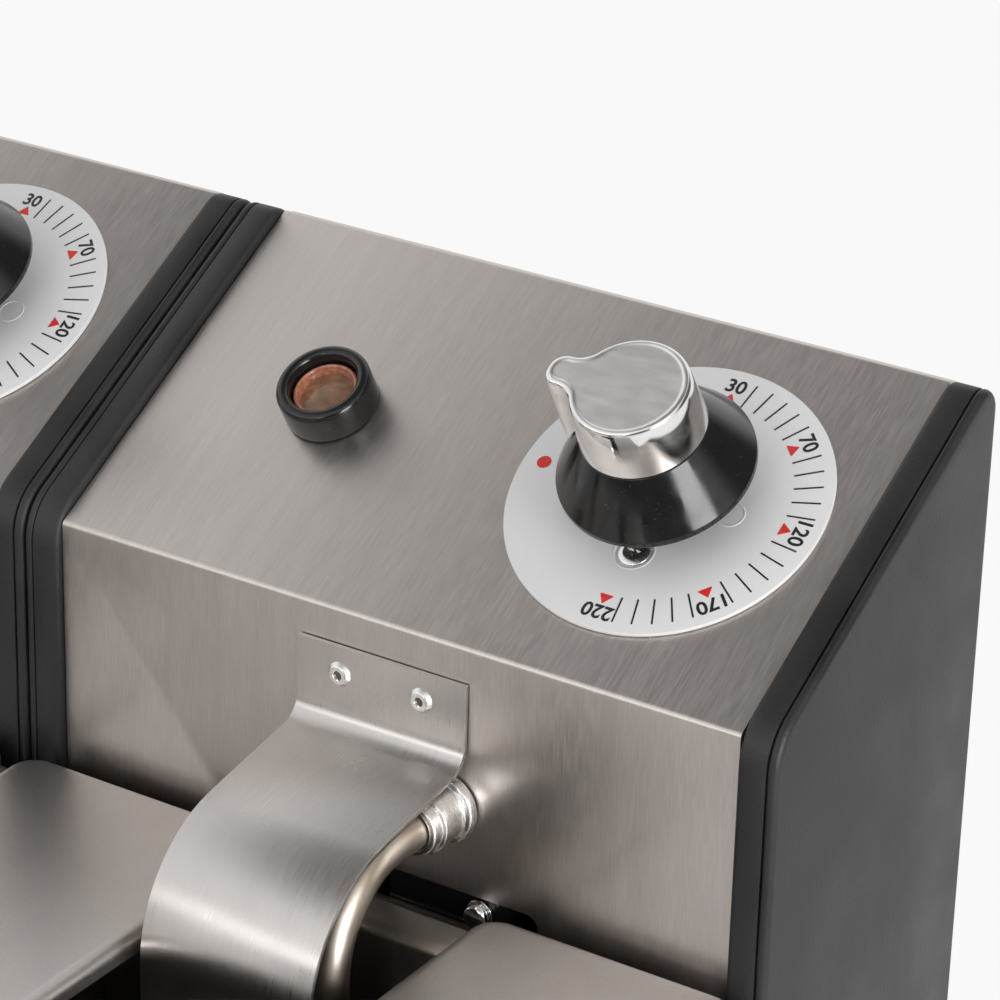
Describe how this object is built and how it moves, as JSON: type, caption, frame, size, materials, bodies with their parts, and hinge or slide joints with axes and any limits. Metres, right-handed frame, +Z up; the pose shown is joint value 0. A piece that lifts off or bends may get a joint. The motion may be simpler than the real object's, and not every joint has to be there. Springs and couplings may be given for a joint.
{
  "type": "deep fryer",
  "caption": "Countertop double deep fryer: stainless casing with two lift-out tanks, each with a lift-off control head, basket and flat lid.",
  "frame": {"origin": "middle of the whole fryer's footprint box, basket grips and cord glands included, on the counter under the feet", "axes": "+X to the cook's right, +Y from the cook to the control heads, +Z up"},
  "size_m": [0.355, 0.5126, 0.3003],
  "materials": {
    "casing_steel": "brushed, satin",
    "tank_steel": "drawn, satin",
    "lid_steel": "fine brushed, bright",
    "head_steel": "vertical brushing",
    "basket_mesh": "nickel-plated wire mesh",
    "basket_wire": "nickel-plated wire",
    "element_steel": "drawn tube, slightly heat-tinted",
    "chrome": "polished",
    "grained_black": "leather-grained moulding",
    "gloss_black": "polished moulding",
    "dial_print": "satin, printed scale",
    "lamp_amber": "translucent amber",
    "foot_rubber": "matt",
    "inner_plastic": "moulded, unseen",
    "reset_red": "moulded"
  },
  "bodies": {
    "casing": {"outer_shell": "casing_steel", "top_deck": "casing_steel", "rear_panel": "casing_steel", "base_plate": "casing_steel", "foot_front_left": "foot_rubber", "foot_front_right": "foot_rubber", "foot_back_left": "foot_rubber", "foot_back_right": "foot_rubber"},
    "left_tank_unit": {"left_tank": "tank_steel"},
    "left_head_unit": {"left_head_shell": "head_steel", "left_head_back_cover": "head_steel", "left_cheek_left": "grained_black", "left_cheek_right": "grained_black", "left_dial_plate": "dial_print", "left_thermostat": "inner_plastic", "left_lamp_bezel": "gloss_black", "left_lamp_lens": "lamp_amber", "left_element_guard": "head_steel", "left_heating_element": "element_steel", "left_element_fitting_left": "element_steel", "left_element_fitting_right": "element_steel", "left_sensing_bulb": "element_steel", "left_safety_switch": "chrome", "left_limit_thermostat": "inner_plastic", "left_cord_gland": "gloss_black"},
    "left_basket_unit": {"left_basket": "basket_mesh", "left_basket_handle": "basket_wire", "left_basket_grip": "gloss_black"},
    "left_lid_unit": {"left_lid": "lid_steel", "left_lid_knob": "gloss_black"},
    "left_knob_unit": {"left_knob_shaft": "chrome", "left_knob_skirt": "gloss_black", "left_knob_cap": "chrome"},
    "left_reset_unit": {"left_reset_button": "reset_red"},
    "right_tank_unit": {"right_tank": "tank_steel"},
    "right_head_unit": {"right_head_shell": "head_steel", "right_head_back_cover": "head_steel", "right_cheek_left": "grained_black", "right_cheek_right": "grained_black", "right_dial_plate": "dial_print", "right_thermostat": "inner_plastic", "right_lamp_bezel": "gloss_black", "right_lamp_lens": "lamp_amber", "right_element_guard": "head_steel", "right_heating_element": "element_steel", "right_element_fitting_left": "element_steel", "right_element_fitting_right": "element_steel", "right_sensing_bulb": "element_steel", "right_safety_switch": "chrome", "right_limit_thermostat": "inner_plastic", "right_cord_gland": "gloss_black"},
    "right_basket_unit": {"right_basket": "basket_mesh", "right_basket_handle": "basket_wire", "right_basket_grip": "gloss_black"},
    "right_lid_unit": {"right_lid": "lid_steel", "right_lid_knob": "gloss_black"},
    "right_knob_unit": {"right_knob_shaft": "chrome", "right_knob_skirt": "gloss_black", "right_knob_cap": "chrome"},
    "right_reset_unit": {"right_reset_button": "reset_red"}
  },
  "joints": [
    {"name": "left_tank_lift", "type": "slide", "parent": "casing", "child": "left_tank_unit", "axis": [0, 0, 1], "range_m": [0, 0.16]},
    {"name": "left_head_lift", "type": "slide", "parent": "left_tank_unit", "child": "left_head_unit", "axis": [0, 0, 1], "range_m": [0, 0.16]},
    {"name": "left_basket_lift", "type": "slide", "parent": "left_head_unit", "child": "left_basket_unit", "axis": [0, 0, 1], "range_m": [0, 0.13]},
    {"name": "left_lid_lift", "type": "slide", "parent": "left_basket_unit", "child": "left_lid_unit", "axis": [0, 0, 1], "range_m": [0, 0.1]},
    {"name": "left_knob_turn", "type": "hinge", "parent": "left_head_unit", "child": "left_knob_unit", "pos_m": [-0.0487, 0.2029, 0.26497], "axis": [0, -0.5015, 0.8652], "range_deg": [-270, 0]},
    {"name": "left_reset_press", "type": "slide", "parent": "left_head_unit", "child": "left_reset_unit", "axis": [0, -1, 0], "range_m": [0, 0.002], "stiffness_N_per_m": 200},
    {"name": "right_tank_lift", "type": "slide", "parent": "casing", "child": "right_tank_unit", "axis": [0, 0, 1], "range_m": [0, 0.16]},
    {"name": "right_head_lift", "type": "slide", "parent": "right_tank_unit", "child": "right_head_unit", "axis": [0, 0, 1], "range_m": [0, 0.16]},
    {"name": "right_basket_lift", "type": "slide", "parent": "right_head_unit", "child": "right_basket_unit", "axis": [0, 0, 1], "range_m": [0, 0.13]},
    {"name": "right_lid_lift", "type": "slide", "parent": "right_basket_unit", "child": "right_lid_unit", "axis": [0, 0, 1], "range_m": [0, 0.1]},
    {"name": "right_knob_turn", "type": "hinge", "parent": "right_head_unit", "child": "right_knob_unit", "pos_m": [0.1285, 0.2029, 0.26497], "axis": [0, -0.5015, 0.8652], "range_deg": [-270, 0]},
    {"name": "right_reset_press", "type": "slide", "parent": "right_head_unit", "child": "right_reset_unit", "axis": [0, -1, 0], "range_m": [0, 0.002], "stiffness_N_per_m": 200}
  ]
}
